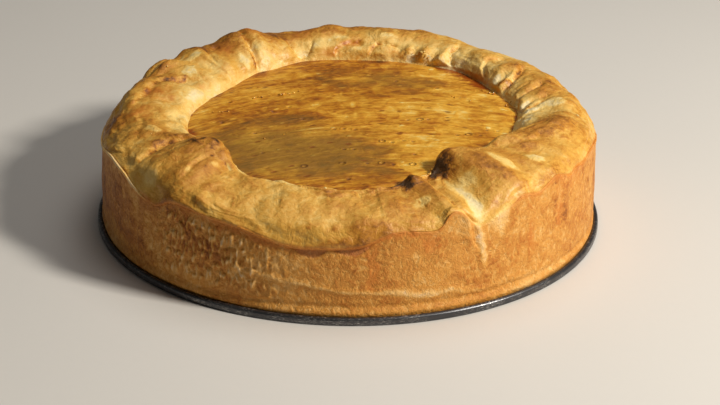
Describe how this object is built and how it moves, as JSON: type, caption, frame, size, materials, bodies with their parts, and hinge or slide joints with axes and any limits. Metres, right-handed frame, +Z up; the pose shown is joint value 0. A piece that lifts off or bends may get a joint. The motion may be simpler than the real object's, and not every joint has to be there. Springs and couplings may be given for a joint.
{
  "type": "pizza rustica",
  "caption": "Deep round savoury pie with straight browned walls, a thick folded and pleated rim and a glazed lid, standing on the dark base disc of its tin.",
  "frame": {"origin": "centre of the tin base's underside, on the surface that the pie stands on", "axes": "+Z up, -Y towards the side that the picture shows, +X to its right"},
  "size_m": [0.2476, 0.2476, 0.0649],
  "materials": {
    "crust": "matte golden-brown baked dough with paler and darker patches",
    "lid": "satin egg-washed pastry, golden yellow with brown brush streaks",
    "tin": "semi-gloss dark grey coated steel"
  },
  "bodies": {
    "root": {"crust": "crust", "lid": "lid", "tin_base": "tin"}
  },
  "joints": []
}
